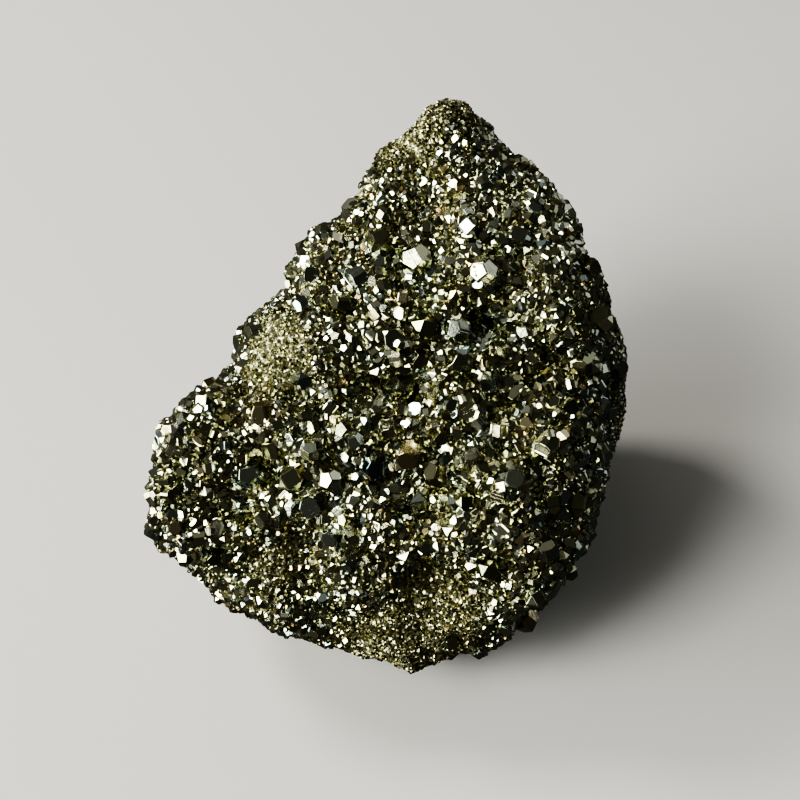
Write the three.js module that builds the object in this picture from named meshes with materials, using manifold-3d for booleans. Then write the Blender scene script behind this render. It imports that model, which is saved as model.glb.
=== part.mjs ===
// Pyrite cluster: one lump of pyrite, broken out of a vein and grown over with interlocking crystals. It is a
// single solid. Millimetres, +Z up, the origin at the middle of the underside, and -Y the broad crystal face.
import * as THREE from "three";
import { ConvexGeometry } from "three/addons/geometries/ConvexGeometry.js";
import { ImprovedNoise } from "three/addons/math/ImprovedNoise.js";
import { mergeVertices } from "three/addons/utils/BufferGeometryUtils.js";
import Module from "manifold-3d";

// Driving dimensions, in millimetres and degrees. A bearing is 0 at the front (-Y) and 90 at the right (+X),
// and a tilt is above the horizon.
const HEART = new THREE.Vector3(0.43, 1.13, 25); // the point that the lump's skin is measured from
const EDGE_SHARPNESS = 9; // how tightly the broad sides meet: 2 is a round pebble, 30 is a cut block
const SKIN_STEPS = 12; // subdivision of the skin
const ROUGH_HEIGHT = 1.3; // unevenness of the broken surface
const ROUGH_SPACING = 8;
const ROUGH_OCTAVE = 2.1; // how much closer and lower the second, finer unevenness is
const ROOM = 200; // a block that holds everything above the floor
const WELD = 1e-4; // corners closer than this are one corner

// The broad sides of the lump: where each faces, and how far it lies from the heart.
const SIDES = [
  { faces: "front face, upper", bearing: -4, tilt: 60, distance: 20.5 },
  { faces: "front face, middle", bearing: -6, tilt: 33, distance: 21.5 },
  { faces: "front foot", bearing: 0, tilt: 0, distance: 29.5 },
  { faces: "front undercut, right", bearing: 39, tilt: -38, distance: 30.5 },
  { faces: "front undercut, left", bearing: -28, tilt: -41, distance: 29.5 },
  { faces: "left undercut", bearing: -50, tilt: -32, distance: 31.5 },
  { faces: "left end", bearing: -90, tilt: 0, distance: 29.5 },
  { faces: "left slope", bearing: -121, tilt: 27, distance: 19.5 },
  { faces: "right crest", bearing: 132, tilt: 34, distance: 34.5 },
  { faces: "right shoulder", bearing: 110, tilt: 19, distance: 29.5 },
  { faces: "right flank", bearing: 72, tilt: 14, distance: 26.5 },
  { faces: "right undercut", bearing: 76, tilt: -16, distance: 27.5 },
  { faces: "back", bearing: 180, tilt: 0, distance: 24.5 },
  { faces: "back undercut", bearing: 172, tilt: -35, distance: 28.5 },
  { faces: "underside", bearing: 0, tilt: -90, distance: 27.5 },
];

// Humps and hollows on the skin: height is outwards, and spread is the angle over which it fades.
const RELIEF = [
  { what: "peak", bearing: 158, tilt: 60, height: 2, spread: 9 },
  { what: "nick under the peak", bearing: 148, tilt: 72, height: -1.6, spread: 8 },
  { what: "right of the peak", bearing: 146, tilt: 54, height: -1.8, spread: 7 },
  { what: "upper hump", bearing: 120, tilt: 82, height: 1.4, spread: 10 },
  { what: "knob on the left slope", bearing: -118, tilt: 62, height: 2.2, spread: 7 },
  { what: "nick below the knob", bearing: -92, tilt: 52, height: -2, spread: 9 },
  { what: "left ridge, outer", bearing: -64, tilt: 46, height: 1.2, spread: 8 },
  { what: "left ridge, inner", bearing: -45, tilt: 58, height: 2.2, spread: 9 },
  { what: "left notch", bearing: -67, tilt: 37, height: -3.4, spread: 9 },
  { what: "left notch, outer", bearing: -86, tilt: 24, height: -2.4, spread: 10 },
  { what: "left slope, low", bearing: -119, tilt: -9, height: -2.2, spread: 12 },
  { what: "left knob", bearing: -66, tilt: 27, height: 1.4, spread: 5 },
  { what: "ledge hollow, left", bearing: -22, tilt: 49, height: -3.2, spread: 8 },
  { what: "ledge hollow, right", bearing: 6, tilt: 51, height: -3.0, spread: 8 },
  { what: "ledge lip", bearing: -5, tilt: 66, height: 1.8, spread: 9 },
  { what: "pit in the middle", bearing: 59, tilt: 62, height: -2.6, spread: 6 },
  { what: "crest, upper", bearing: 84, tilt: 68, height: 1.8, spread: 10 },
  { what: "crest, right", bearing: 80, tilt: 44, height: 1.6, spread: 10 },
  { what: "pit on the right", bearing: 62, tilt: 42, height: -2.8, spread: 7 },
  { what: "dip down the right", bearing: 45, tilt: 36, height: -2.2, spread: 8 },
  { what: "left lobe, top", bearing: -60, tilt: 19, height: 1.6, spread: 9 },
  { what: "left lobe, hollow", bearing: -44, tilt: 15, height: -3.4, spread: 9 },
  { what: "left lobe, foot", bearing: -53, tilt: 0, height: 2.2, spread: 9 },
  { what: "left foot notch", bearing: -45, tilt: -10, height: -2.8, spread: 8 },
  { what: "right foot notch", bearing: 44, tilt: -13, height: -2.4, spread: 9 },
  { what: "swell in the middle", bearing: -23, tilt: 27, height: 2.4, spread: 10 },
  { what: "swell on the right", bearing: 31, tilt: 20, height: 2.2, spread: 9 },
  { what: "low hollow, left", bearing: -27, tilt: 5, height: -2.4, spread: 8 },
  { what: "crease, upper", bearing: 6, tilt: 14, height: -2.6, spread: 8 },
  { what: "crease, lower", bearing: 10, tilt: -4, height: -2.4, spread: 7 },
  { what: "low swell", bearing: -10, tilt: -2, height: 1.8, spread: 8 },
  { what: "low right shoulder", bearing: 30, tilt: 0, height: 1.2, spread: 11 },
  { what: "bottom tip", bearing: 3, tilt: -30, height: 1.4, spread: 7 },
  { what: "back hollow", bearing: 190, tilt: 10, height: -3.5, spread: 16 },
  { what: "back rib", bearing: 160, tilt: 20, height: 2.4, spread: 11 },
  { what: "back left swell", bearing: -125, tilt: -8, height: 2.6, spread: 14 },
];

// Patches where the crystals stay too fine to stand out of the skin.
const FINE_GRAINED = [
  { what: "left ridge", bearing: -46, tilt: 52, spread: 13 },
  { what: "left side of the peak", bearing: 178, tilt: 64, spread: 10 },
  { what: "foot of the front", bearing: 0, tilt: -16, spread: 20 },
  { what: "low left patch", bearing: -33, tilt: -2, spread: 9 },
];
const COARSE_FACE = { bearing: 4, tilt: 46 }; // the side that the large crystals grow on
const COARSE_WITHIN = 57; // they are densest within this angle of it
const COARSE_LIMIT = 95; // and none grows beyond this one

const CRYSTAL_PLACES = 385; // even spacing over the whole skin, before any place is left empty
const SMALLEST_CRYSTAL = 0.9; // half a crystal's width
const LARGEST_CRYSTAL = 1.6;
const SUNK = 0.45; // how deep a crystal's middle lies under the skin, in half widths

// The crystal forms, by the corners of one octant at half width 1, and how large each grows beside the others.
const FORMS = [
  { name: "pyritohedron", corners: [[0.75, 0.75, 0.75], [0, 1.12, 0.56]], growth: 1 },
  { name: "cuboctahedron", corners: [[0.94, 0.94, 0]], growth: 0.9 },
  { name: "cube", corners: [[0.8, 0.8, 0.8]], growth: 0.7 },
  { name: "cube with cut corners", corners: [[0.85, 0.85, 0.4]], growth: 0.85 },
  { name: "pyritohedron with cube faces", corners: [[0.75, 0.75, 0.75], [0.24, 1, 0.62]], growth: 0.95 },
];

const wasm = await Module();
wasm.setup();

// The direction of a bearing and tilt.
function facing(bearing, tilt) {
  const b = THREE.MathUtils.degToRad(bearing);
  const t = THREE.MathUtils.degToRad(tilt);
  return new THREE.Vector3(Math.sin(b) * Math.cos(t), -Math.cos(b) * Math.cos(t), Math.sin(t));
}

const sides = SIDES.map((side) => ({ ...side, normal: facing(side.bearing, side.tilt) }));
const relief = RELIEF.map((hump) => ({ ...hump, middle: facing(hump.bearing, hump.tilt) }));
const fineGrained = FINE_GRAINED.map((patch) => ({ ...patch, middle: facing(patch.bearing, patch.tilt) }));
const coarseFace = facing(COARSE_FACE.bearing, COARSE_FACE.tilt);
const noise = new ImprovedNoise();

// Coarse and finer unevenness at a point of the skin.
function roughness(point) {
  const p = point.clone().divideScalar(ROUGH_SPACING);
  const q = p.clone().multiplyScalar(ROUGH_OCTAVE);
  return ROUGH_HEIGHT * (noise.noise(p.x, p.y, p.z) + noise.noise(q.x, q.y, q.z) / ROUGH_OCTAVE);
}

// Distance from the heart to the skin in one direction.
function reach(direction) {
  const sum = sides.reduce((total, side) => {
    const towards = Math.max(0, direction.dot(side.normal)) / side.distance;
    return total + towards ** EDGE_SHARPNESS;
  }, 0);
  const smooth = sum ** (-1 / EDGE_SHARPNESS);
  const humps = relief.reduce((total, hump) => {
    const angle = THREE.MathUtils.radToDeg(direction.angleTo(hump.middle)) / hump.spread;
    return total + hump.height * Math.exp(-angle * angle);
  }, 0);
  return smooth + humps + roughness(direction.clone().multiplyScalar(smooth));
}

// A closed geometry as a solid that can be joined and cut.
function solidOf(geometry) {
  const plain = new THREE.BufferGeometry().setAttribute("position", geometry.getAttribute("position"));
  if (geometry.index) plain.setIndex(geometry.index);
  const merged = mergeVertices(plain, WELD);
  return new wasm.Manifold(
    new wasm.Mesh({
      numProp: 3,
      vertProperties: merged.getAttribute("position").array,
      triVerts: new Uint32Array(merged.index.array),
    }),
  );
}

// The lump's bare skin: a fine ball with each point moved out or in along its own direction.
function skin() {
  const geometry = new THREE.IcosahedronGeometry(1, SKIN_STEPS);
  const position = geometry.getAttribute("position");
  const direction = new THREE.Vector3();
  for (let i = 0; i < position.count; i++) {
    direction.fromBufferAttribute(position, i).normalize();
    const point = direction.clone().multiplyScalar(reach(direction)).add(HEART);
    position.setXYZ(i, point.x, point.y, point.z);
  }
  return solidOf(geometry);
}

// Repeatable chance from 0 to 1: the same crystal always makes the same draw.
function chance(crystal, draw) {
  const spun = Math.sin(12.9898 * crystal + 78.233 * draw) * 43758.5453;
  return spun - Math.floor(spun);
}

// An even spread of directions over the whole lump, along one long spiral.
function spiral(place) {
  const height = 1 - (2 * place + 1) / CRYSTAL_PLACES;
  const around = place * Math.PI * (3 - Math.sqrt(5));
  const flat = Math.sqrt(1 - height * height);
  return new THREE.Vector3(flat * Math.cos(around), flat * Math.sin(around), height);
}

// A repeatable turn, even over all the ways a crystal can lie.
function randomTurn(place) {
  const share = chance(place, 3);
  const first = 2 * Math.PI * chance(place, 4);
  const second = 2 * Math.PI * chance(place, 5);
  return new THREE.Quaternion(
    Math.sqrt(1 - share) * Math.sin(first),
    Math.sqrt(1 - share) * Math.cos(first),
    Math.sqrt(share) * Math.sin(second),
    Math.sqrt(share) * Math.cos(second),
  );
}

// How likely a large crystal is in one direction, from 0 to 1.
function coarseness(direction) {
  const away = THREE.MathUtils.radToDeg(direction.angleTo(coarseFace));
  const fine = fineGrained.map((patch) => {
    const angle = THREE.MathUtils.radToDeg(direction.angleTo(patch.middle)) / patch.spread;
    return Math.exp(-angle * angle);
  });
  return (1 - THREE.MathUtils.smoothstep(away, COARSE_WITHIN, COARSE_LIMIT)) * (1 - Math.max(...fine));
}

// Every corner of a form: each octant repeats the first, with the axes taken in turn.
function formCorners(form) {
  const turned = form.corners.flatMap(([x, y, z]) => [[x, y, z], [y, z, x], [z, x, y]]);
  return turned.flatMap(([x, y, z]) =>
    [1, -1].flatMap((a) => [1, -1].flatMap((b) => [1, -1].map((c) => new THREE.Vector3(a * x, b * y, c * z)))),
  );
}

// One crystal, with its middle just under the skin.
function crystal(place) {
  const direction = spiral(place);
  const form = FORMS[Math.floor(chance(place, 2) * FORMS.length)];
  const share = chance(place, 6) * coarseness(direction);
  const halfWidth = form.growth * THREE.MathUtils.lerp(SMALLEST_CRYSTAL, LARGEST_CRYSTAL, share);
  const middle = direction.clone().multiplyScalar(reach(direction) - SUNK * halfWidth).add(HEART);
  const turn = randomTurn(place);
  const points = formCorners(form).map((p) => p.multiplyScalar(halfWidth).applyQuaternion(turn).add(middle));
  return solidOf(new ConvexGeometry(points));
}

// The lump with its crystals, cut off flat at the floor.
function pyriteLump() {
  const places = [...Array(CRYSTAL_PLACES).keys()];
  const taken = places.filter((place) => chance(place, 1) < coarseness(spiral(place)));
  const whole = taken.reduce((solid, place) => solid.add(crystal(place)), skin());
  const aboveFloor = solidOf(new THREE.BoxGeometry(ROOM, ROOM, ROOM).translate(0, 0, ROOM / 2));
  return whole.intersect(aboveFloor);
}

// A solid's faces as a geometry.
function geometryOf(solid) {
  const got = solid.getMesh();
  return new THREE.BufferGeometry()
    .setAttribute("position", new THREE.BufferAttribute(new Float32Array(got.vertProperties), 3))
    .setIndex(new THREE.BufferAttribute(got.triVerts, 1));
}

const pyrite = new THREE.MeshStandardMaterial({ color: 0xb9ad7a, roughness: 0.25, metalness: 1 });
const lump = new THREE.Mesh(geometryOf(pyriteLump()), pyrite);
lump.name = "pyrite_cluster";
const cluster = new THREE.Group();
cluster.add(lump);
export default cluster;
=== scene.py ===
"""Pyrite cluster: a lump of pyrite grown over with interlocking crystals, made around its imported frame.

The frame is one solid, which carries the lump's shape and its larger crystals. Here that solid is replaced
by its visible surface: a granular groundmass, and a crust of crystals in six sizes, from the large ones that
the solid has down to fine sparkling specks. Sizes in the fields below are millimetres unless a comment says
otherwise, and every mesh is in metres.
"""

from __future__ import annotations

import itertools
import logging
import math
from dataclasses import dataclass, field
from enum import Enum, IntEnum

import bmesh
import bpy
import numpy as np
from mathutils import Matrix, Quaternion, Vector, noise
from mathutils.bvhtree import BVHTree
from mathutils.kdtree import KDTree


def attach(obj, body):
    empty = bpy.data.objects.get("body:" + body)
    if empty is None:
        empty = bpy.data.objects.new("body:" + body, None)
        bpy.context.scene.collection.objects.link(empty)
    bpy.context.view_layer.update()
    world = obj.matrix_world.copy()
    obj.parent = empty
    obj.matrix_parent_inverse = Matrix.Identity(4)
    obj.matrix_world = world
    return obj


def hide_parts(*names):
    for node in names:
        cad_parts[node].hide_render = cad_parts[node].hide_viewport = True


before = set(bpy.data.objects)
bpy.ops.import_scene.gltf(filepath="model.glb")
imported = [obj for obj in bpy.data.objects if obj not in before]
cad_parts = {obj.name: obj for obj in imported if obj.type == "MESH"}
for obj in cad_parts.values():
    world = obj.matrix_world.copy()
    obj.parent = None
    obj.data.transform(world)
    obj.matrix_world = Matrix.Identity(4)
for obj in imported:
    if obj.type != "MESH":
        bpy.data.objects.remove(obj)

MM = 0.001  # one millimetre in metres
NODE = "pyrite_cluster"
HEART = Vector((0.43, 1.13, 25.0))  # the point in the lump that directions are taken from
OUTSIDE = 60.0  # further from the heart than any of the surface
TINY = 1e-12  # keeps an area of nothing from being divided by

Colour = tuple[float, float, float, float]
Socket = bpy.types.NodeSocket

log = logging.getLogger("pyrite")


def facing(bearing: float, tilt: float) -> Vector:
    """Gives the direction of a bearing, where 0 is the front and 90 the right, and a tilt, in degrees."""
    b, t = math.radians(bearing), math.radians(tilt)
    return Vector((math.sin(b) * math.cos(t), -math.cos(b) * math.cos(t), math.sin(t)))


def smoothstep(value: np.ndarray | float, low: float, high: float) -> np.ndarray | float:
    """Rises smoothly from 0 at low to 1 at high."""
    x = np.clip((value - low) / (high - low), 0.0, 1.0)
    return x * x * (3.0 - 2.0 * x)


def linear(hex_colour: str) -> Colour:
    """Turns an sRGB hex colour into linear red, green and blue with full alpha.

    Args:
        hex_colour: Six hex digits, such as "D8CBA0".

    Returns:
        The linear colour that a shader socket takes.
    """
    parts = [int(hex_colour[i : i + 2], 16) / 255.0 for i in (0, 2, 4)]
    lin = [p / 12.92 if p <= 0.04045 else ((p + 0.055) / 1.055) ** 2.4 for p in parts]
    return (lin[0], lin[1], lin[2], 1.0)


def add_node(
    tree: bpy.types.NodeTree,
    kind: str,
    settings: dict[str | int, object] | None = None,
    links: dict[str | int, Socket] | None = None,
) -> bpy.types.Node:
    """Adds a node with its settings and links.

    Args:
        tree: The node tree to add to.
        kind: The node's Blender type name.
        settings: Values by the name of a node property or an input socket, or by an input's number.
        links: Output sockets by the name or number of the input that they feed.

    Returns:
        The new node.
    """
    node = tree.nodes.new(kind)
    for name, value in (settings or {}).items():
        if isinstance(name, str) and hasattr(node, name):
            setattr(node, name, value)
        else:
            node.inputs[name].default_value = value
    for name, socket in (links or {}).items():
        tree.links.new(socket, node.inputs[name])
    return node


def ramp(node: bpy.types.Node, stops: list[tuple[float, Colour]]) -> bpy.types.Node:
    """Sets a Color Ramp node's stops.

    Args:
        node: The Color Ramp node.
        stops: Each stop's place from 0 to 1, and its linear colour.

    Returns:
        The same node.
    """
    elements = node.color_ramp.elements
    while len(elements) < len(stops):
        elements.new(0.5)  # it takes its own place below
    for element, (place, colour) in zip(elements, stops):
        element.position = place
        element.color = colour
    return node


def even_stops(colours: tuple[str, ...]) -> list[tuple[float, Colour]]:
    """Gives evenly spaced ramp stops for hex colours."""
    return [(i / (len(colours) - 1), linear(colour)) for i, colour in enumerate(colours)]


def grey(value: float) -> Colour:
    """Gives a linear grey."""
    return (value, value, value, 1.0)


def new_material(name: str, metallic: float) -> tuple[bpy.types.Material, bpy.types.Node]:
    """Makes a node material.

    Args:
        name: Its name.
        metallic: 1 for a metal, and 0 for anything else.

    Returns:
        The material and its shader.
    """
    made = bpy.data.materials.new(name)
    made.use_nodes = True
    shader = made.node_tree.nodes["Principled BSDF"]
    shader.inputs["Metallic"].default_value = metallic
    return made, shader


# --------------------------------------------------------------------------------------------------
# Finishes
# --------------------------------------------------------------------------------------------------


@dataclass(frozen=True)
class Face:
    """What the nodes of a grown face start from."""

    tree: bpy.types.NodeTree
    place: Socket  # object coordinates, in metres
    stripe: Socket  # distance across the striations, in millimetres
    facet: Socket  # a number from 0 to 1 that differs from face to face
    crystal: Socket  # and one that differs from crystal to crystal


@dataclass(frozen=True)
class GrownPyrite:
    """Pyrite, as grown: naturally bright crystal faces, which mirror like polished metal.

    It gives the eye hard white glints beside near-black faces. Parallel striations run over the faces where
    the crystal grew in steps, some faces are a little etched and so softer, and a thin brown tarnish lies
    over some crystals, with one blue and grey tarnished spot. Real striations are a few hundredths of a
    millimetre apart, too fine to show, so they are drawn as coarse as they need to show.
    """

    tones: tuple[str, ...] = ("8E9070", "B6B799", "C8C8AE", "C6C8B2", "A9B5AE", "C2B58E")  # olive to brass
    tarnish: str = "968A60"  # brown-gold film
    film_range: tuple[float, float] = (0.38, 0.62)  # of the patch noise times the face's luck
    film_strength: float = 0.6
    bloom: tuple[str, str, str] = ("567E8C", "7A8088", "A08A58")  # blue, grey and gold tarnish in one spot
    bloom_stops: tuple[float, float, float] = (0.1, 0.5, 0.85)  # which faces take which of them
    bloom_at: tuple[float, float, float] = (-2.0, -17.6, 34.6)
    bloom_size: float = 2.8
    bloom_core: float = 0.3  # the share of the spot's size that is fully tarnished
    roughness: tuple[float, float] = (0.05, 0.26)
    etch_share: float = 0.35
    etch_range: tuple[float, float] = (0.2, 1.3)
    pit_spacing: float = 0.5
    patch_spacing: float = 9.0
    striation_spacing: float = 0.22
    striation_shift: float = 37.0  # how far the pattern shifts from face to face, so that no two match
    step_edges: tuple[float, ...] = (0.42, 0.47, 0.55, 0.6)  # where a step rises, levels and rises again
    step_levels: tuple[float, ...] = (0.0, 0.5, 0.5, 1.0)
    step_strength: float = 0.12
    step_height: float = 0.02
    wave_strength: float = 0.35
    wave_height: float = 0.09
    wave_spacing: float = 1.6
    name: str = "pyrite_grown_faces"

    def material(self) -> bpy.types.Material:
        """Builds the node material.

        Returns:
            The material.
        """
        made, shader = new_material(self.name, metallic=1.0)
        tree = made.node_tree
        place = add_node(tree, "ShaderNodeTexCoord").outputs["Object"]
        grown = add_node(tree, "ShaderNodeAttribute", {"attribute_name": "growth"})
        luck = add_node(tree, "ShaderNodeSeparateXYZ", links={0: grown.outputs["Vector"]})
        face = Face(tree, place, *luck.outputs)
        tree.links.new(self._colour(face), shader.inputs["Base Color"])
        tree.links.new(self._roughness(face), shader.inputs["Roughness"])
        tree.links.new(self._bump(face), shader.inputs["Normal"])
        return made

    def _colour(self, face: Face) -> Socket:
        """Gives each crystal a tone, lays brown tarnish in patches, and blooms one spot blue.

        Args:
            face: What the face's nodes start from.

        Returns:
            The colour socket.
        """
        tree = face.tree
        tones = ramp(add_node(tree, "ShaderNodeValToRGB", links={0: face.crystal}), even_stops(self.tones))
        patches = add_node(
            tree,
            "ShaderNodeTexNoise",
            {"Scale": 1.0 / (self.patch_spacing * MM), "Detail": 4.0},
            {"Vector": face.place},
        )
        film = add_node(
            tree, "ShaderNodeMath", {"operation": "MULTIPLY"}, {0: patches.outputs[0], 1: face.facet}
        )
        filmed = ramp(
            add_node(tree, "ShaderNodeValToRGB", links={0: film.outputs[0]}),
            [(self.film_range[0], grey(0.0)), (self.film_range[1], grey(self.film_strength))],
        )
        tarnished = add_node(
            tree,
            "ShaderNodeMix",
            {"data_type": "RGBA", 7: linear(self.tarnish)},
            {0: filmed.outputs[0], 6: tones.outputs[0]},
        )
        away = add_node(
            tree,
            "ShaderNodeVectorMath",
            {"operation": "DISTANCE", 1: tuple(v * MM for v in self.bloom_at)},
            {0: face.place},
        )
        rim, core = self.bloom_size * MM, self.bloom_core * self.bloom_size * MM
        spot = add_node(
            tree,
            "ShaderNodeMapRange",
            {"interpolation_type": "SMOOTHSTEP", 1: rim, 2: core},
            {0: away.outputs["Value"]},
        )
        film_colour = ramp(
            add_node(tree, "ShaderNodeValToRGB", links={0: face.facet}),
            [(stop, linear(colour)) for stop, colour in zip(self.bloom_stops, self.bloom)],
        )
        bloomed = add_node(
            tree,
            "ShaderNodeMix",
            {"data_type": "RGBA"},
            {0: spot.outputs[0], 6: tarnished.outputs[2], 7: film_colour.outputs[0]},
        )
        return bloomed.outputs[2]

    def _roughness(self, face: Face) -> Socket:
        """Makes most faces bright, some softer, with a fine etch.

        Args:
            face: What the face's nodes start from.

        Returns:
            The roughness socket.
        """
        etch = add_node(
            face.tree,
            "ShaderNodeTexNoise",
            {"Scale": 1.0 / (self.pit_spacing * MM), "Detail": 3.0},
            {"Vector": face.place},
        )
        etched = add_node(
            face.tree,
            "ShaderNodeMath",
            {"operation": "MULTIPLY_ADD", 1: self.etch_share},
            {0: etch.outputs[0], 2: face.facet},
        )
        least, most = self.etch_range
        low, high = self.roughness
        soft = add_node(
            face.tree, "ShaderNodeMapRange", {1: least, 2: most, 3: low, 4: high}, {0: etched.outputs[0]}
        )
        return soft.outputs[0]

    def _bump(self, face: Face) -> Socket:
        """Raises uneven parallel growth steps across each face, over a faint waviness.

        Args:
            face: What the face's nodes start from.

        Returns:
            The normal socket.
        """
        tree = face.tree
        shifted = add_node(
            tree,
            "ShaderNodeMath",
            {"operation": "MULTIPLY_ADD", 1: self.striation_shift},
            {0: face.facet, 2: face.stripe},
        )
        steps = add_node(
            tree,
            "ShaderNodeTexNoise",
            {"noise_dimensions": "1D", "Scale": 1.0 / self.striation_spacing, "Detail": 2.0},
            {"W": shifted.outputs[0]},
        )
        terraces = ramp(
            add_node(tree, "ShaderNodeValToRGB", links={0: steps.outputs[0]}),
            [(edge, grey(level)) for edge, level in zip(self.step_edges, self.step_levels)],
        )
        waves = add_node(
            tree,
            "ShaderNodeTexNoise",
            {"Scale": 1.0 / (self.wave_spacing * MM), "Detail": 2.0},
            {"Vector": face.place},
        )
        stepped = add_node(
            tree,
            "ShaderNodeBump",
            {"Strength": self.step_strength, "Distance": self.step_height * MM},
            {"Height": terraces.outputs[0]},
        )
        wavy = add_node(
            tree,
            "ShaderNodeBump",
            {"Strength": self.wave_strength, "Distance": self.wave_height * MM},
            {"Height": waves.outputs[0], "Normal": stepped.outputs[0]},
        )
        return wavy.outputs[0]


# The small crystals that fill the gaps between the larger ones have rougher faces, and darker, more olive
# tones than the large crystals: painted shade for those gaps, which also dims their glints to olive gleams.
FINE_GRAINS_IN_PAINTED_SHADE = GrownPyrite(
    name="pyrite_fine_grains_painted_shade",
    # darker tones than the large crystals: painted shade of the gaps between them
    tones=("75734F", "96946E", "A6A480", "A4A286", "8C9682", "A69464"),
    roughness=(0.1, 0.36),
)
# A druse of specks is too fine for bright faces and gives a pale, sugary sheen.
FINE_DRUSE = GrownPyrite(
    name="pyrite_fine_druse",
    tones=("A8A886", "C4C49E", "D0CFAE", "CCC9AC", "BFC3A8", "CBBF94"),
    roughness=(0.2, 0.5),
)


@dataclass(frozen=True)
class MassivePyrite:
    """Pyrite, massive and granular, as broken: it gives the eye dull, dark ground between the crystals.

    Its grains have no faces of their own.
    """

    light: str = "A8A480"
    dark: str = "3A3828"
    tone_range: tuple[float, float] = (0.1, 0.55)  # of the grain's luck times the stain noise
    roughness: tuple[float, float] = (0.32, 0.6)
    grain: float = 0.38  # how wide a grain is
    grain_height: float = 0.12
    grain_strength: float = 0.9
    stain_spacing: float = 4.0

    def material(self) -> bpy.types.Material:
        """Builds the node material.

        Returns:
            The material.
        """
        made, shader = new_material("pyrite_massive_granular", metallic=1.0)
        tree = made.node_tree
        place = add_node(tree, "ShaderNodeTexCoord").outputs["Object"]
        grains = add_node(
            tree, "ShaderNodeTexVoronoi", {"Scale": 1.0 / (self.grain * MM)}, {"Vector": place}
        )
        stains = add_node(
            tree,
            "ShaderNodeTexNoise",
            {"Scale": 1.0 / (self.stain_spacing * MM), "Detail": 5.0},
            {"Vector": place},
        )
        luck = add_node(tree, "ShaderNodeSeparateXYZ", links={0: grains.outputs["Color"]})
        tone = add_node(
            tree, "ShaderNodeMath", {"operation": "MULTIPLY"}, {0: luck.outputs[0], 1: stains.outputs[0]}
        )
        colour = ramp(
            add_node(tree, "ShaderNodeValToRGB", links={0: tone.outputs[0]}),
            [(self.tone_range[0], linear(self.dark)), (self.tone_range[1], linear(self.light))],
        )
        soft = add_node(
            tree,
            "ShaderNodeMapRange",
            {3: self.roughness[0], 4: self.roughness[1]},
            {0: luck.outputs[1]},
        )
        relief = add_node(
            tree,
            "ShaderNodeBump",
            {"Strength": self.grain_strength, "Distance": self.grain_height * MM},
            {"Height": grains.outputs["Distance"]},
        )
        tree.links.new(colour.outputs[0], shader.inputs["Base Color"])
        tree.links.new(soft.outputs[0], shader.inputs["Roughness"])
        tree.links.new(relief.outputs[0], shader.inputs["Normal"])
        return made


@dataclass(frozen=True)
class StudioPaper:
    """Studio paper, matt and uncoated: it gives the eye a pale, even, slightly warm ground."""

    colour: str = "E2E0DC"
    roughness: float = 0.85

    def material(self) -> bpy.types.Material:
        """Builds the plain material."""
        made, shader = new_material("studio_paper", metallic=0.0)
        shader.inputs["Base Color"].default_value = linear(self.colour)
        shader.inputs["Roughness"].default_value = self.roughness
        return made


# --------------------------------------------------------------------------------------------------
# Crystals
# --------------------------------------------------------------------------------------------------

ABSENT = 9.0  # a family of faces so far out that it never shows
CLOSE = 1e-6  # a point nearer to a cutting plane than this lies on it, in half widths
FACET_SHIFT = 7.31  # parts the face numbers of crystals that share a shape


class Habit(Enum):
    """The forms that pyrite grows in here.

    Each value is how far the cube, pyritohedron and octahedron faces lie from the middle, in half widths.
    """

    PYRITOHEDRON = (ABSENT, 1.0, ABSENT)
    CUBOCTAHEDRON = (0.94, ABSENT, 1.085)
    CUBE = (0.8, ABSENT, 1.3)
    CUT_CUBE = (0.85, ABSENT, 1.212)
    PYRITOHEDRON_WITH_CUBE = (1.0, 1.0, ABSENT)
    PYRITOHEDRON_WITH_OCTAHEDRON = (ABSENT, 1.0, 1.06)
    CUBE_WITH_PYRITOHEDRON = (0.86, 1.0, 1.4)
    CUT_OCTAHEDRON = (1.0, ABSENT, 0.92)
    PLAIN_CUBE = (0.8, ABSENT, ABSENT)
    PLAIN_OCTAHEDRON = (ABSENT, ABSENT, 0.8)


# The habits of the CAD solid, in its order, and how large each grows there beside the others.
SOLID_GROWTH = {
    Habit.PYRITOHEDRON: 1.0,
    Habit.CUBOCTAHEDRON: 0.9,
    Habit.CUBE: 0.7,
    Habit.CUT_CUBE: 0.85,
    Habit.PYRITOHEDRON_WITH_CUBE: 0.95,
}
SOLID_HABITS = tuple(SOLID_GROWTH)
ROUNDED_HABITS = (
    Habit.PYRITOHEDRON_WITH_OCTAHEDRON,
    Habit.PYRITOHEDRON_WITH_CUBE,
    Habit.CUT_OCTAHEDRON,
    Habit.PYRITOHEDRON,
    Habit.CUBOCTAHEDRON,
    Habit.CUBE_WITH_PYRITOHEDRON,
    Habit.CUT_CUBE,
)
SIMPLE_HABITS = (Habit.CUBOCTAHEDRON, Habit.PLAIN_OCTAHEDRON, Habit.PYRITOHEDRON, Habit.PLAIN_CUBE)
GRAIN_HABITS = (Habit.PLAIN_OCTAHEDRON, Habit.CUBOCTAHEDRON, Habit.PLAIN_OCTAHEDRON, Habit.PLAIN_CUBE)
SPECK_HABITS = (Habit.PLAIN_OCTAHEDRON, Habit.PLAIN_CUBE, Habit.PLAIN_OCTAHEDRON)


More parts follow.
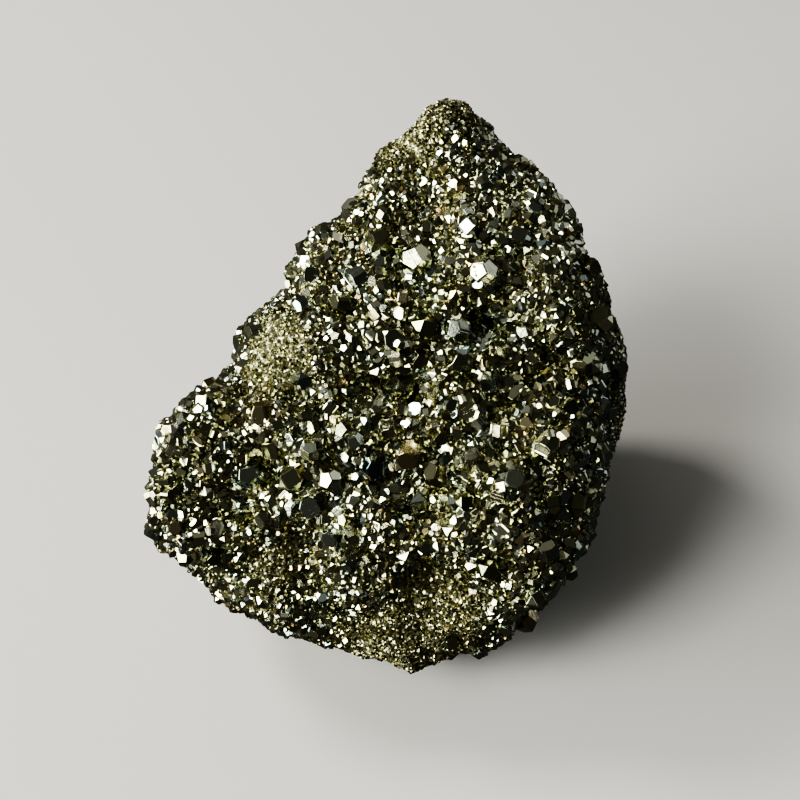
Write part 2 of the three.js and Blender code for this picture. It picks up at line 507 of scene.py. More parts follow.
def habit_faces(habit: Habit) -> list[tuple[Vector, float, Vector]]:
    """Lists a habit's faces.

    Args:
        habit: The form.

    Returns:
        Each face's outward direction, its distance from the middle in half widths, and the direction across
        its striations, which run the way that the cube and pyritohedron faces meet.
    """
    cube, pyrite, octa = habit.value
    axes = [Vector((1, 0, 0)), Vector((0, 1, 0)), Vector((0, 0, 1))]
    faces = []
    for i, sign in itertools.product(range(3), (1, -1)):
        faces.append((sign * axes[i], cube, axes[i - 1]))
    for i, a, b in itertools.product(range(3), (1, -1), (1, -1)):
        normal = a * axes[i] + 2 * b * axes[(i + 1) % 3]
        across = 2 * a * axes[i] - b * axes[(i + 1) % 3]
        faces.append((normal.normalized(), pyrite, across.normalized()))
    for a, b, c in itertools.product((1, -1), repeat=3):
        faces.append((Vector((a, b, c)).normalized(), octa, Vector((a, -b, 0)).normalized()))
    return [f for f in faces if f[1] < ABSENT]


@dataclass(frozen=True)
class CrystalShape:
    """One crystal's mesh at half width 1, ready to be copied many times."""

    points: np.ndarray
    corners: np.ndarray  # the point at each face corner
    sizes: np.ndarray  # the number of corners of each face
    stripes: np.ndarray  # distance across the striations at each corner
    facets: np.ndarray  # which crystal face each corner belongs to, as a number from 0 to 1


@dataclass
class CrystalMaker:
    """Grows single crystals: a block cleaved along each face of the habit, each at its own uneven distance.

    Its lengths are in half widths of the crystal, and its angles in degrees.
    """

    rng: np.random.Generator
    unevenness: float
    terraces: float  # how many of the larger faces carry a growth step
    bevel: float = 0.0
    stretch: float = 0.0  # how much longer or shorter it may be along each axis
    block: float = 4.0  # how wide the block is
    merge: float = 0.02  # corners closer than this are one corner
    flat: float = 1.0  # faces that meet at less than this angle are one face
    sharp: float = 20.0  # edges sharper than this angle are bevelled
    terrace_from: float = 0.55  # faces wider than this may carry a growth step
    terrace_inset: tuple[float, float] = (0.07, 0.2)  # in face widths
    terrace_height: tuple[float, float] = (0.02, 0.045)

    def grow(self, habit: Habit) -> CrystalShape:
        """Grows one crystal.

        Args:
            habit: Its form.

        Returns:
            Its mesh.
        """
        faces = habit_faces(habit)
        bm = bmesh.new()
        bmesh.ops.create_cube(bm, size=self.block)
        for normal, distance, _ in faces:
            self._cleave(bm, normal, distance * (1.0 + self.rng.uniform(-1, 1) * self.unevenness))
        flat = math.radians(self.flat)
        bmesh.ops.dissolve_limit(bm, angle_limit=flat, verts=bm.verts[:], edges=bm.edges[:])
        bmesh.ops.remove_doubles(bm, verts=bm.verts[:], dist=self.merge)
        if self.stretch:
            longer = [1.0 + self.rng.uniform(-1, 1) * self.stretch for _ in range(3)]
            bmesh.ops.scale(bm, verts=bm.verts[:], vec=longer)
        if self.terraces:
            self._terrace(bm)
        if self.bevel:
            sharp = math.radians(self.sharp)
            bmesh.ops.bevel(
                bm,
                geom=[e for e in bm.edges if e.is_manifold and e.calc_face_angle(0.0) > sharp],
                offset=self.bevel,
                offset_type="OFFSET",
                affect="EDGES",
                segments=1,
                profile=0.5,
                clamp_overlap=True,
                material=-1,
            )
        bmesh.ops.recalc_face_normals(bm, faces=bm.faces[:])
        shape = self._read(bm, faces)
        bm.free()
        return shape

    @staticmethod
    def _cleave(bm: bmesh.types.BMesh, normal: Vector, distance: float) -> None:
        """Cuts away what lies beyond a plane, and closes the cut.

        Args:
            bm: The mesh to cut.
            normal: The plane's outward direction.
            distance: How far the plane lies from the middle.
        """
        cut = bmesh.ops.bisect_plane(
            bm,
            geom=bm.verts[:] + bm.edges[:] + bm.faces[:],
            dist=CLOSE,
            plane_co=normal * distance,
            plane_no=normal,
            clear_outer=True,
        )
        rim = [e for e in cut["geom_cut"] if isinstance(e, bmesh.types.BMEdge)]
        if len(rim) > 2:
            bmesh.ops.edgeloop_fill(bm, edges=rim)

    def _terrace(self, bm: bmesh.types.BMesh) -> None:
        """Raises or sinks a step within some of the larger faces.

        Args:
            bm: The crystal's mesh.
        """
        for face in bm.faces[:]:
            width = math.sqrt(face.calc_area())
            if width > self.terrace_from and self.rng.random() < self.terraces:
                bmesh.ops.inset_individual(
                    bm,
                    faces=[face],
                    thickness=width * self.rng.uniform(*self.terrace_inset),
                    depth=self.rng.choice((-1, 1)) * self.rng.uniform(*self.terrace_height),
                    use_even_offset=True,
                )

    def _read(self, bm: bmesh.types.BMesh, faces: list[tuple[Vector, float, Vector]]) -> CrystalShape:
        """Reads the finished mesh into arrays, with each corner's place across the striations.

        Args:
            bm: The crystal's mesh.
            faces: The faces of its habit.

        Returns:
            The shape.
        """
        bm.verts.index_update()
        points = np.array([v.co[:] for v in bm.verts])
        corners, sizes, stripes, facets = [], [], [], []
        luck = self.rng.random(len(faces))
        for face in bm.faces:
            nearest = max(range(len(faces)), key=lambda i: face.normal.dot(faces[i][0]))
            sizes.append(len(face.verts))
            for vert in face.verts:
                corners.append(vert.index)
                stripes.append(vert.co.dot(faces[nearest][2]))
                facets.append(luck[nearest])
        return CrystalShape(points, np.array(corners), np.array(sizes), np.array(stripes), np.array(facets))


@dataclass
class CrystalBed:
    """Crystals of one size class, with where each one sits."""

    centres: list[Vector] = field(default_factory=list)
    turns: list[Quaternion] = field(default_factory=list)
    half_widths: list[float] = field(default_factory=list)
    shapes: list[int] = field(default_factory=list)  # which shape of the class's library it has
    tones: list[float] = field(default_factory=list)  # from 0 to 1

    def add(self, centre: Vector, turn: Quaternion, half_width: float, shape: int, tone: float) -> None:
        """Adds one crystal."""
        self.centres.append(centre)
        self.turns.append(turn)
        self.half_widths.append(half_width)
        self.shapes.append(shape)
        self.tones.append(tone)

    def part(self, keep: list[bool]) -> CrystalBed:
        """Gives the crystals that keep marks."""
        chosen = [i for i, wanted in enumerate(keep) if wanted]
        return CrystalBed(*[[column[i] for i in chosen] for column in self.columns()])

    def columns(self) -> list[list]:
        """Gives the five lists in order."""
        return [self.centres, self.turns, self.half_widths, self.shapes, self.tones]

    def mesh(self, name: str, library: list[CrystalShape]) -> bpy.types.Mesh:
        """Joins copies of the shapes into one mesh, in metres, with its growth attribute.

        Args:
            name: The mesh's name.
            library: The shapes that the bed's shape numbers mean.

        Returns:
            The joined mesh.
        """
        points, corners, sizes, growth = [], [], [], []
        offset = 0
        shape_of = np.array(self.shapes)
        for number, shape in enumerate(library):
            chosen = np.flatnonzero(shape_of == number)
            if not len(chosen):
                continue
            turn = np.array([self.turns[i].to_matrix() for i in chosen])
            size = np.array([self.half_widths[i] for i in chosen])
            centre = np.array([self.centres[i] for i in chosen])
            tone = np.array([self.tones[i] for i in chosen])
            turned = np.einsum("kij,nj->kni", turn, shape.points)
            placed = turned * size[:, None, None] + centre[:, None, :]
            points.append(placed.reshape(-1, 3))
            first = offset + np.arange(len(chosen)) * len(shape.points)
            corners.append((shape.corners[None, :] + first[:, None]).ravel())
            sizes.append(np.tile(shape.sizes, len(chosen)))
            stripes = shape.stripes[None, :] * size[:, None]
            facets = np.mod(shape.facets[None, :] + tone[:, None] * FACET_SHIFT, 1.0)
            tones = np.broadcast_to(tone[:, None], stripes.shape)
            growth.append(np.stack([stripes, facets, tones], axis=-1).reshape(-1, 3))
            offset += len(chosen) * len(shape.points)
        return joined_mesh(
            name,
            np.concatenate(points) * MM,
            np.concatenate(corners),
            np.concatenate(sizes),
            np.concatenate(growth),
        )


def joined_mesh(
    name: str, points: np.ndarray, corners: np.ndarray, sizes: np.ndarray, growth: np.ndarray
) -> bpy.types.Mesh:
    """Makes a mesh from joined arrays.

    Args:
        name: The mesh's name.
        points: Every point, in metres.
        corners: The point number at each face corner.
        sizes: The number of corners of each face.
        growth: Three numbers at each corner: across the striations, by face, and by crystal.

    Returns:
        The mesh, flat shaded.
    """
    mesh = bpy.data.meshes.new(name)
    mesh.vertices.add(len(points))
    mesh.vertices.foreach_set("co", points.astype(np.float32).ravel())
    mesh.loops.add(len(corners))
    mesh.loops.foreach_set("vertex_index", corners.astype(np.int32))
    mesh.polygons.add(len(sizes))
    starts = np.concatenate([[0], np.cumsum(sizes)[:-1]])
    mesh.polygons.foreach_set("loop_start", starts.astype(np.int32))
    mesh.update(calc_edges=True)
    mesh.attributes.new("growth", "FLOAT_VECTOR", "CORNER").data.foreach_set(
        "vector", growth.astype(np.float32).ravel()
    )
    mesh.shade_flat()
    return mesh


# --------------------------------------------------------------------------------------------------
# The lump
# --------------------------------------------------------------------------------------------------

BROAD_FACE = (4.0, 46.0)  # the bearing and tilt of its middle, where the crystals grew largest
GOLDEN_ANGLE = math.pi * (3.0 - math.sqrt(5.0))  # spreads directions evenly


@dataclass(frozen=True)
class Patch:
    """A patch of the skin, by its direction from the heart and the angle over which it fades, in degrees."""

    what: str
    bearing: float
    tilt: float
    spread: float
    change: float = 1.0  # how much it sinks the groundmass or adds to the coarseness at its middle

    def share(self, directions: np.ndarray | Vector) -> np.ndarray:
        """Gives how much of the patch is felt in one direction or in each of many.

        Args:
            directions: A direction from the heart, or an array of them.

        Returns:
            The share, from 0 to 1.
        """
        cosine = np.asarray(directions) @ np.array(facing(self.bearing, self.tilt))
        angle = np.degrees(np.arccos(np.clip(cosine, -1.0, 1.0))) / self.spread
        return np.exp(-angle * angle)


def directions_of(points: np.ndarray) -> np.ndarray:
    """Gives the direction of each point from the heart."""
    away = points - np.array(HEART)
    return away / np.linalg.norm(away, axis=1)[:, None]


def noise_at(points: np.ndarray) -> np.ndarray:
    """Gives smooth noise from about -1 to 1 at each point, with a period of a few units."""
    return np.array([noise.noise(point) for point in points.tolist()])


def make_piece(name: str, mesh: bpy.types.Mesh, material: bpy.types.Material) -> bpy.types.Object:
    """Makes a piece of the lump: it rides on the root, and stands for the CAD solid.

    Args:
        name: The piece's name.
        mesh: Its mesh, in the frame.
        material: Its finish.

    Returns:
        The piece.
    """
    piece = bpy.data.objects.new(name, mesh)
    mesh.materials.append(material)
    bpy.context.scene.collection.objects.link(piece)
    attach(piece, "root")
    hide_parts(NODE)
    triangles = sum(len(p.vertices) - 2 for p in mesh.polygons)
    log.info("%s: %d faces, %d triangles", name, len(mesh.polygons), triangles)
    return piece


@dataclass
class Groundmass:
    """The granular pyrite that the crystals grow from: the CAD solid's own shape, made uneven.

    A cavity whose change is below 0 swells the groundmass instead.
    """

    voxel: float = 0.54  # how finely it is remeshed
    smoothings: int = 3
    weld: float = 1e-4  # corners of the solid closer than this are one corner
    sunk: float = 0.15  # how far the groundmass lies below the solid's skin
    grain_height: float = 0.22
    grain_spacing: float = 1.3
    swell_depth: float = 1.3  # how far the hollows between the swells go in
    swell_spacing: float = 6.5
    swell_range: tuple[float, float] = (-0.25, 0.45)  # the noise over which they deepen
    dent_depth: float = 0.8  # and the small dents in them
    dent_spacing: float = 2.6
    dent_range: tuple[float, float] = (0.0, 0.5)
    rim: tuple[float, float] = (0.3, 1.5)  # the heights over which the flat underside gives way to relief
    cavities: tuple[Patch, ...] = (
        Patch("under the ledge, left", -16, 51, 4, 3.0),
        Patch("under the ledge, middle", -5, 52, 4, 3.2),
        Patch("under the ledge, right", 6, 52, 4, 3.0),
        Patch("pit in the middle", 59, 62, 4, 2.4),
        Patch("pit on the right", 62, 42, 3.5, 2.4),
        Patch("crease, upper", 6, 14, 4, 1.6),
        Patch("crease, lower", 10, -4, 4, 1.6),
        Patch("left lobe, hollow", -44, 15, 5, 1.8),
        Patch("notch under the left ridge", -60, 34, 4, 1.8),
        Patch("full left side of the peak", -178, 58, 9, -2.0),
        Patch("tip of the peak", 162, 57, 5, -0.7),
        Patch("full left ridge", -99, 30, 11, -0.9),
        Patch("full left lobe", -65, 4, 12, -0.7),
        Patch("full low left side", -40, -26, 15, -2.1),
    )
    name: str = "granular_groundmass"

    def build(self, finish: MassivePyrite) -> bpy.types.Object:
        """Builds the groundmass from a copy of the solid.

        Args:
            finish: Its finish.

        Returns:
            The piece.
        """
        bm = bmesh.new()
        bm.from_mesh(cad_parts[NODE].data)
        bmesh.ops.remove_doubles(bm, verts=bm.verts[:], dist=self.weld * MM)
        copied = bpy.data.meshes.new(self.name)
        bm.to_mesh(copied)
        bm.free()
        piece = make_piece(self.name, copied, finish.material())
        remesh = piece.modifiers.new("remesh", "REMESH")
        remesh.mode = "VOXEL"
        remesh.voxel_size = self.voxel * MM
        smooth = piece.modifiers.new("smooth", "SMOOTH")
        smooth.iterations = self.smoothings
        bpy.context.view_layer.update()
        evaluated = piece.evaluated_get(bpy.context.evaluated_depsgraph_get())
        finished = bpy.data.meshes.new_from_object(evaluated)
        piece.modifiers.clear()
        piece.data = finished
        finished.name = self.name
        self._roughen(finished)
        log.info("%s finished: %d faces", self.name, len(finished.polygons))
        return piece

    def depth(self, points: np.ndarray) -> np.ndarray:
        """Gives how far the groundmass lies below the solid's skin.

        Args:
            points: Points on the skin.

        Returns:
            The depth at each point.
        """
        directions = directions_of(points)
        cavity = sum(patch.change * patch.share(directions) for patch in self.cavities)
        swell = smoothstep(-noise_at(points / self.swell_spacing), *self.swell_range)
        dent = smoothstep(-noise_at(points / self.dent_spacing), *self.dent_range)
        grains = self.grain_height * noise_at(points / self.grain_spacing)
        return self.sunk + cavity + self.swell_depth * swell + self.dent_depth * dent + grains

    def _roughen(self, mesh: bpy.types.Mesh) -> None:
        """Sinks each point, unevenly, and keeps the underside flat.

        Args:
            mesh: The groundmass.
        """
        points = np.array([v.co[:] for v in mesh.vertices]) / MM
        normals = np.array([v.normal[:] for v in mesh.vertices])
        height = points[:, 2]
        share = smoothstep(height, *self.rim)
        moved = points - normals * (self.depth(points) * share)[:, None]
        moved[:, 2] = np.where(height > self.rim[0], np.maximum(moved[:, 2], 0.0), 0.0)
        mesh.vertices.foreach_set("co", (moved * MM).astype(np.float32).ravel())
        mesh.update()


class Draw(IntEnum):
    """What each repeatable draw for a large crystal decides."""

    GROWS = 1
    HABIT = 2
    TURN_SHARE = 3
    TURN_FIRST = 4
    TURN_SECOND = 5
    SIZE = 6
    TONE = 7


@dataclass
class LargeCrystals:
    """The crystals that the CAD solid itself carries, with the same turns and sizes.

    The places, draws and sizes below are those of the solid. Only the crystals that the groundmass has sunk
    away from are set lower than there.
    """

    places: int = 385
    smallest: float = 0.9  # half width, as below
    largest: float = 1.6
    standing: float = 0.25  # how far a middle may stand above the groundmass, in half widths
    within: float = 57.0  # the angle from the broad face's middle at which they begin to thin out
    limit: float = 95.0  # and at which there are none
    edge_on: float = 1e-3  # the cosine under which a crystal's face doesn't reach the skin
    stirs: tuple[float, float, float] = (12.9898, 78.233, 43758.5453)  # what makes the draws like chance
    fine: tuple[Patch, ...] = (
        Patch("left ridge", -46, 52, 13),
        Patch("left side of the peak", 178, 64, 10),
        Patch("foot of the front", 0, -16, 20),
        Patch("low left patch", -33, -2, 9),
    )

    def chance(self, place: int, draw: Draw) -> float:
        """Gives a repeatable draw from 0 to 1."""
        by_place, by_draw, spread = self.stirs
        spun = math.sin(by_place * place + by_draw * draw) * spread
        return spun - math.floor(spun)

    def spiral(self, place: int) -> Vector:
        """Gives one of an even spread of directions over the lump.

        Args:
            place: Its place on the spiral.

        Returns:
            The direction.
        """
        height = 1.0 - (2 * place + 1) / self.places
        around = place * GOLDEN_ANGLE
        flat = math.sqrt(1.0 - height * height)
        return Vector((flat * math.cos(around), flat * math.sin(around), height))

    def coarseness(self, direction: Vector) -> float:
        """Gives how likely a large crystal is in a direction, from 0 to 1."""
        away = math.degrees(direction.angle(facing(*BROAD_FACE)))
        finest = max(patch.share(direction) for patch in self.fine)
        return float(1.0 - smoothstep(away, self.within, self.limit)) * (1.0 - finest)

    def turn(self, place: int) -> Quaternion:
        """Gives a crystal's turn, even over all the ways it can lie.

        Args:
            place: The crystal's place on the spiral.

        Returns:
            The turn.
        """
        share = self.chance(place, Draw.TURN_SHARE)
        first = 2 * math.pi * self.chance(place, Draw.TURN_FIRST)
        second = 2 * math.pi * self.chance(place, Draw.TURN_SECOND)
        low, high = math.sqrt(1 - share), math.sqrt(share)
        x, y = low * math.sin(first), low * math.cos(first)
        z, w = high * math.sin(second), high * math.cos(second)
        return Quaternion((w, x, y, z))

    def grow(self, solid: BVHTree, ground: BVHTree, variants: int) -> CrystalBed:
        """Finds each crystal on the solid, and lowers those that the groundmass has sunk away from.

        Args:
            solid: The surface of the CAD solid.
            ground: The surface of the groundmass.
            variants: How many shapes each habit has.

        Returns:
            The bed of crystals, whose shape numbers count habits first.
        """
        bed = CrystalBed()
        for place in range(self.places):
            direction = self.spiral(place)
            coarse = self.coarseness(direction)
            if self.chance(place, Draw.GROWS) >= coarse:
                continue
            kind = int(self.chance(place, Draw.HABIT) * len(SOLID_HABITS))
            habit = SOLID_HABITS[kind]
            share = self.chance(place, Draw.SIZE) * coarse
            half_width = SOLID_GROWTH[habit] * (self.smallest + (self.largest - self.smallest) * share)
            turn = self.turn(place)
            outside = (HEART + direction * OUTSIDE) * MM
            hit = solid.ray_cast(outside, -direction)[0]
            if hit is None:
                continue
            top = (hit / MM - HEART).length
            tip = min(
                distance / normal.dot(turn.inverted() @ direction)
                for normal, distance, _ in habit_faces(habit)
                if normal.dot(turn.inverted() @ direction) > self.edge_on
            )
            centre = HEART + direction * (top - tip * half_width)
            nearest, up, _, away = ground.find_nearest(centre * MM)
            if (centre * MM - nearest).dot(up) > 0.0:
                centre -= direction * max(away / MM - self.standing * half_width, 0.0)
            shape = kind * variants + place % variants
            bed.add(centre, turn, half_width, shape, self.chance(place, Draw.TONE))
        return bed


@dataclass(frozen=True)
class SizeClass:
    """One size of crystal in the crust."""

    name: str
    half_width: tuple[float, float]
    tries: int  # how many places are tried
    coarse_from: float  # how coarse the skin is where this size begins
    coarse_full: float  # and where it grows everywhere
    spacing: float  # how close two crystals' middles may be, over the sum of their half widths
    lift: tuple[float, float]  # how far the middle stands above the groundmass, in half widths
    shapes: int  # how many different shapes it has
    habits: tuple[Habit, ...]
    unevenness: float = 0.0  # of how far out the faces lie
    terraces: float = 0.0  # how many of the larger faces carry a growth step
    stretch: float = 0.2
    pieces: int = 1  # how many sectors round the lump it is parted into, so that none has too many faces
    finish: GrownPyrite = GrownPyrite()


@dataclass
class Crust:
    """The crystals that cover the groundmass, largest first, so that the finer ones fill what is left."""

    seed: int = 17
    variants: int = 9  # how many shapes of each habit the large crystals have
    large_finish: GrownPyrite = GrownPyrite()
    large_unevenness: float = 0.04
    large_bevel: float = 0.018  # in half widths
    large_terraces: float = 0.5
    small_bias: float = 1.5  # above 1, a class has more of its smaller crystals
    clearance: float = 1.3  # how far above the table a middle stays, in half widths
    first_sector: float = 0.25  # where the sectors begin, in turns before the front
    classes: tuple[SizeClass, ...] = (
        SizeClass(
            "coarse_crystals",
            half_width=(0.58, 0.95),
            tries=14000,
            coarse_from=0.4,
            coarse_full=0.85,
            spacing=0.62,
            lift=(-0.45, 0.15),
            shapes=30,
            habits=ROUNDED_HABITS,
            unevenness=0.13,
            terraces=0.3,
        ),
        SizeClass(
            "medium_crystals",
            half_width=(0.4, 0.58),
            tries=34000,
            coarse_from=0.15,
            coarse_full=0.55,
            spacing=0.62,
            lift=(-0.4, 0.25),
            shapes=24,
            habits=ROUNDED_HABITS,
            unevenness=0.13,
            pieces=2,
        ),
        SizeClass(
            "small_crystals",
            half_width=(0.26, 0.4),
            tries=70000,
            coarse_from=0.0,
            coarse_full=0.3,
            spacing=0.66,
            lift=(-0.3, 0.35),
            shapes=24,
            habits=SIMPLE_HABITS,
            pieces=2,
        ),
        SizeClass(
            "fine_grains",
            half_width=(0.17, 0.26),
            tries=130000,
            coarse_from=-0.85,
            coarse_full=-0.05,
            spacing=0.7,
            lift=(-0.2, 0.45),
            shapes=16,
            habits=GRAIN_HABITS,
            pieces=2,
            # its darker tones are painted shade of the gaps between the larger crystals
            finish=FINE_GRAINS_IN_PAINTED_SHADE,
        ),
        SizeClass(
            "sparkling_specks",
            half_width=(0.09, 0.15),
            tries=900000,
            coarse_from=0.15,
            coarse_full=-0.2,
            spacing=0.64,
            lift=(-0.1, 0.75),
            shapes=12,
            habits=SPECK_HABITS,
            finish=FINE_DRUSE,
        ),
    )
    back_coarseness: float = 0.2
    front_coarseness: float = 0.45  # what the broad face adds to it
    front_range: tuple[float, float] = (-0.2, 0.6)  # the cosines to its middle over which that is added
    mottle: float = 0.22  # how unevenly coarse and fine are mixed
    mottles: float = 5.0  # and how finely, over the lump's radius
    patches: tuple[Patch, ...] = (
        Patch("right of the middle", 29, 33, 24, 0.4),
        Patch("left lobe", -46, 12, 15, 0.45),
        Patch("middle of the face", -10, 27, 18, 0.35),
        Patch("above the ledge", 40, 76, 22, 0.1),
        Patch("tip of the peak", 160, 58, 7, -0.45),
        Patch("left ridge", -63, 47, 15, -1.15),
        Patch("left side of the peak", 178, 64, 11, -0.7),
        Patch("foot of the front", 4, -18, 19, -0.9),
        Patch("low left patch", -33, -2, 8, -0.8),
        Patch("right flank", 84, 5, 26, -0.3),
    )

    def coarseness(self, directions: np.ndarray) -> np.ndarray:
        """Gives how coarse the skin is in each direction.

        Args:
            directions: The directions from the heart.

        Returns:
            Near 1 where large crystals crowd, and under 0 where all is fine.
        """
        ahead = smoothstep(directions @ np.array(facing(*BROAD_FACE)), *self.front_range)
        front = self.back_coarseness + self.front_coarseness * ahead
        patched = front + sum(patch.change * patch.share(directions) for patch in self.patches)
        return patched + self.mottle * noise_at(directions * self.mottles)

    def build(self, groundmass: bpy.types.Object) -> list[bpy.types.Object]:
        """Grows every size of crystal and joins each into its pieces.

        Args:
            groundmass: What they grow on.

        Returns:
            The pieces.
        """
        rng = np.random.default_rng(self.seed)
        finishes = dict.fromkeys([self.large_finish, *(size.finish for size in self.classes)])
        materials = {finish: finish.material() for finish in finishes}
        solid, ground = surface_of(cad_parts[NODE].data), surface_of(groundmass.data)
        large_maker = CrystalMaker(rng, self.large_unevenness, self.large_terraces, self.large_bevel)
        library = [large_maker.grow(habit) for habit in SOLID_HABITS for _ in range(self.variants)]
        large = LargeCrystals().grow(solid, ground, self.variants)
        joined = large.mesh("large_crystals", library)
        pieces = [make_piece("large_crystals", joined, materials[self.large_finish])]
        grown = [large]
        for size in self.classes:
            maker = CrystalMaker(rng, size.unevenness, size.terraces, stretch=size.stretch)
            library = [maker.grow(size.habits[i % len(size.habits)]) for i in range(size.shapes)]
            bed = self._settle(size, groundmass.data, grown, rng)
            grown.append(bed)
            for number in range(size.pieces):
                name = size.name if size.pieces == 1 else f"{size.name}_{number + 1}"
                within = [self._sector(centre, size.pieces) == number for centre in bed.centres]
                joined = bed.part(within).mesh(name, library)
                pieces.append(make_piece(name, joined, materials[size.finish]))
        return pieces

    def _sector(self, centre: Vector, sectors: int) -> int:
        """Gives which sector round the heart a crystal is in, the first to the front."""
        away = centre - HEART
        turns = math.atan2(away.x, -away.y) / (2 * math.pi)
        return int(((turns + self.first_sector) % 1.0) * sectors)

    def _settle(
        self, size: SizeClass, ground: bpy.types.Mesh, grown: list[CrystalBed], rng: np.random.Generator
    ) -> CrystalBed:
        """Tries places for one size of crystal, and keeps those with room.

        Args:
            size: The size class.
            ground: The groundmass mesh.
            grown: The beds of larger crystals.
            rng: The source of chance.

        Returns:
            The new bed.
        """
        places, normals = scatter(ground, size.tries, rng)
        draws = rng.random((len(places), 5))  # whether it grows, and its width, lift, shape and tone
        coarse = self.coarseness(directions_of(places))
        wanted = draws[:, 0] <= smoothstep(coarse, size.coarse_from, size.coarse_full)
        trees = [(tree_of(bed.centres), bed.half_widths, max(bed.half_widths)) for bed in grown]
        low, high = size.half_width
        cell = 2 * high * size.spacing
        taken: dict[tuple[int, int, int], list[tuple[Vector, float]]] = {}
        bed = CrystalBed()
        for place, normal, draw in zip(places[wanted], normals[wanted], draws[wanted]):
            _, wide, raised, shape, tone = draw
            centre, up = Vector(place), Vector(normal)
            half_width = low + (high - low) * wide**self.small_bias
            centre = centre + up * half_width * (size.lift[0] + (size.lift[1] - size.lift[0]) * raised)
            if centre.z < self.clearance * half_width:
                continue
            if self._crowded(centre, half_width, size.spacing, trees, taken, cell):
                continue
            key = tuple(int(c // cell) for c in centre)
            taken.setdefault(key, []).append((centre, half_width))
            turn = Quaternion(rng.normal(size=4)).normalized()
            bed.add(centre, turn, half_width, int(shape * size.shapes), float(tone))
        log.info("%s: %d crystals", size.name, len(bed.centres))
        return bed

    @staticmethod
    def _crowded(
        centre: Vector,
        half_width: float,
        spacing: float,
        trees: list[tuple[KDTree, list[float], float]],
        taken: dict[tuple[int, int, int], list[tuple[Vector, float]]],
        cell: float,
    ) -> bool:
        """Says whether a crystal would sit too deep in one that is already there.

        Args:
            centre: The crystal's middle.
            half_width: Its half width.
            spacing: How close two middles may be, over the sum of their half widths.
            trees: The larger sizes: a tree of their middles, their half widths and the widest of them.
            taken: The middles and half widths of the same size, by cell.
            cell: How wide a cell is.

        Returns:
            Whether it would.
        """
        for tree, half_widths, widest in trees:
            for _, index, away in tree.find_range(centre, spacing * (half_width + widest)):
                if away < spacing * (half_width + half_widths[index]):
                    return True
        x, y, z = (int(c // cell) for c in centre)
        for i, j, k in itertools.product((x - 1, x, x + 1), (y - 1, y, y + 1), (z - 1, z, z + 1)):
            for other, other_width in taken.get((i, j, k), ()):
                if (centre - other).length < spacing * (half_width + other_width):
                    return True
        return False


def surface_of(mesh: bpy.types.Mesh) -> BVHTree:
    """Gives a tree for finding a mesh's surface.

    Args:
        mesh: The mesh, in metres.

    Returns:
        The tree, in metres.
    """
    bm = bmesh.new()
    bm.from_mesh(mesh)
    tree = BVHTree.FromBMesh(bm)
    bm.free()
    return tree


def tree_of(centres: list[Vector]) -> KDTree:
    """Gives a tree for finding the crystals near a point.

    Args:
        centres: The crystals' middles.

    Returns:
        The tree.
    """
    tree = KDTree(len(centres))
    for index, centre in enumerate(centres):
        tree.insert(centre, index)
    tree.balance()
    return tree


def scatter(mesh: bpy.types.Mesh, count: int, rng: np.random.Generator) -> tuple[np.ndarray, np.ndarray]:
    """Scatters points evenly over a mesh.

    Args:
        mesh: The mesh, in metres.
        count: How many points.
        rng: The source of chance.

    Returns:
        The points in millimetres, and the outward direction at each.
    """
    mesh.calc_loop_triangles()
    corners = np.empty(len(mesh.loop_triangles) * 3, np.int32)
    mesh.loop_triangles.foreach_get("vertices", corners)
    corners = corners.reshape(-1, 3)
    points = np.empty(len(mesh.vertices) * 3, np.float32)
    mesh.vertices.foreach_get("co", points)
    points = points.reshape(-1, 3).astype(float) / MM
    a, b, c = (points[corners[:, i]] for i in range(3))
    cross = np.cross(b - a, c - a)
    areas = np.linalg.norm(cross, axis=1)
    chosen = rng.choice(len(areas), size=count, p=areas / areas.sum())
    u, v = rng.random(count), rng.random(count)
    flip = u + v > 1.0
    u[flip], v[flip] = 1.0 - u[flip], 1.0 - v[flip]
    places = a[chosen] + (b - a)[chosen] * u[:, None] + (c - a)[chosen] * v[:, None]
    return places, (cross / np.maximum(areas, TINY)[:, None])[chosen]


# --------------------------------------------------------------------------------------------------
# Studio
# --------------------------------------------------------------------------------------------------


@dataclass(frozen=True)
class SoftBox:
    """A soft light aimed at the lump, in metres and watts."""

    name: str
    bearing: float
    tilt: float
    distance: float
    width: float
    height: float
    power: float
    colour: str

    def hang(self, target: Vector) -> None:
        """Hangs the light where it faces the lump.

        Args:
            target: What it is aimed at, in metres.
        """
        data = bpy.data.lights.new(self.name, "AREA")
        data.shape = "RECTANGLE"
        data.size = self.width
        data.size_y = self.height
        data.energy = self.power
        data.color = linear(self.colour)[:3]
        light = bpy.data.objects.new(self.name, data)
        bpy.context.scene.collection.objects.link(light)
        away = facing(self.bearing, self.tilt)
        light.location = target + away * self.distance
        light.rotation_mode = "QUATERNION"
        light.rotation_quaternion = away.to_track_quat("Z", "Y")


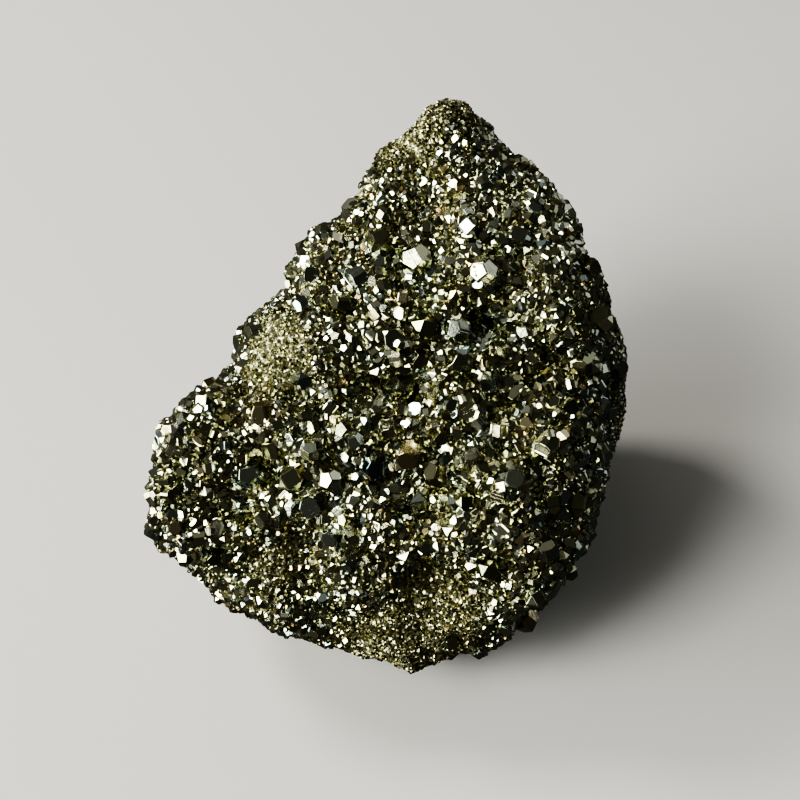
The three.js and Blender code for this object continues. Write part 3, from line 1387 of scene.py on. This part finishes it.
@dataclass
class Studio:
    """The pale floor, the soft lights and the camera."""

    lens: float = 85.0
    tilt: float = 45.0
    distance: float = 0.2267  # from the camera to what it aims at, in metres
    aim_above: float = 1.2  # how far above the heart it aims, across the view
    nearest: float = 0.01  # what the camera sees, in metres
    furthest: float = 20.0
    look: str = "AgX - High Contrast"
    floor_size: float = 6.0  # in metres
    floor_gap: float = 0.02  # keeps the floor clear of the flat underside
    lights: tuple[SoftBox, ...] = (
        SoftBox("key_softbox", -112, 46, 0.7, 0.18, 0.18, 2.0, "FFFCF4"),
        SoftBox("front_softbox", -48, 42, 0.8, 0.3, 0.3, 4.0, "FEFFFA"),
        SoftBox("low_softbox", -66, 12, 0.8, 0.6, 0.38, 7.1, "FEFFF8"),
        SoftBox("overhead_panel", -90, 60, 1.2, 1.2, 1.2, 0.8, "F4F8FF"),
        SoftBox("right_fill", 122, 18, 1.0, 0.9, 0.7, 1.3, "F4F8FF"),
    )
    walls: tuple[str, ...] = ("303436", "363630", "4F4E47", "72726C")  # from the dim side to the light one
    lit_from: tuple[float, float] = (-95.0, 20.0)  # the bearing and tilt of the light side

    def build(self) -> None:
        """Builds the floor, lights, surroundings and camera."""
        self._floor()
        for light in self.lights:
            light.hang(HEART * MM)
        self._surroundings()
        self._camera()

    def _surroundings(self) -> None:
        """Shades the studio's walls from a dim side to a lighter one."""
        world = bpy.data.worlds.new("surroundings")
        bpy.context.scene.world = world
        world.use_nodes = True
        tree = world.node_tree
        way = add_node(tree, "ShaderNodeTexCoord").outputs["Generated"]
        towards = add_node(
            tree,
            "ShaderNodeVectorMath",
            {"operation": "DOT_PRODUCT", 1: tuple(facing(*self.lit_from))},
            {0: way},
        )
        share = add_node(tree, "ShaderNodeMapRange", {1: -1.0, 2: 1.0}, {0: towards.outputs["Value"]})
        walls = ramp(
            add_node(tree, "ShaderNodeValToRGB", links={0: share.outputs[0]}),
            even_stops(self.walls),
        )
        tree.links.new(walls.outputs[0], tree.nodes["Background"].inputs["Color"])

    def _floor(self) -> None:
        """Lays the paper just under the lump."""
        bm = bmesh.new()
        bmesh.ops.create_grid(bm, x_segments=1, y_segments=1, size=self.floor_size / 2)
        bmesh.ops.translate(bm, verts=bm.verts[:], vec=(0.0, 0.0, -self.floor_gap * MM))
        mesh = bpy.data.meshes.new("studio_floor")
        bm.to_mesh(mesh)
        bm.free()
        mesh.materials.append(StudioPaper().material())
        floor = bpy.data.objects.new("studio_floor", mesh)
        bpy.context.scene.collection.objects.link(floor)
        floor.visible_glossy = False  # keeps the paper out of the crystals' reflections, as black cards would

    def _camera(self) -> None:
        """Places the camera in front of the broad face, looking down at it."""
        data = bpy.data.cameras.new("camera")
        data.lens = self.lens
        data.clip_start, data.clip_end = self.nearest, self.furthest
        camera = bpy.data.objects.new("camera", data)
        bpy.context.scene.collection.objects.link(camera)
        back = facing(0.0, self.tilt)
        up = facing(180.0, 90.0 - self.tilt)
        camera.location = (HEART + up * self.aim_above) * MM + back * self.distance
        camera.rotation_mode = "QUATERNION"
        camera.rotation_quaternion = back.to_track_quat("Z", "Y")
        bpy.context.scene.camera = camera
        bpy.context.scene.view_settings.look = self.look


def main() -> None:
    """Builds the lump, its crystals and the studio."""
    logging.basicConfig(level=logging.INFO, format="%(name)s: %(message)s")
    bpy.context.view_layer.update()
    Studio().build()
    groundmass = Groundmass().build(MassivePyrite())
    Crust().build(groundmass)


if __name__ == "__main__":
    main()
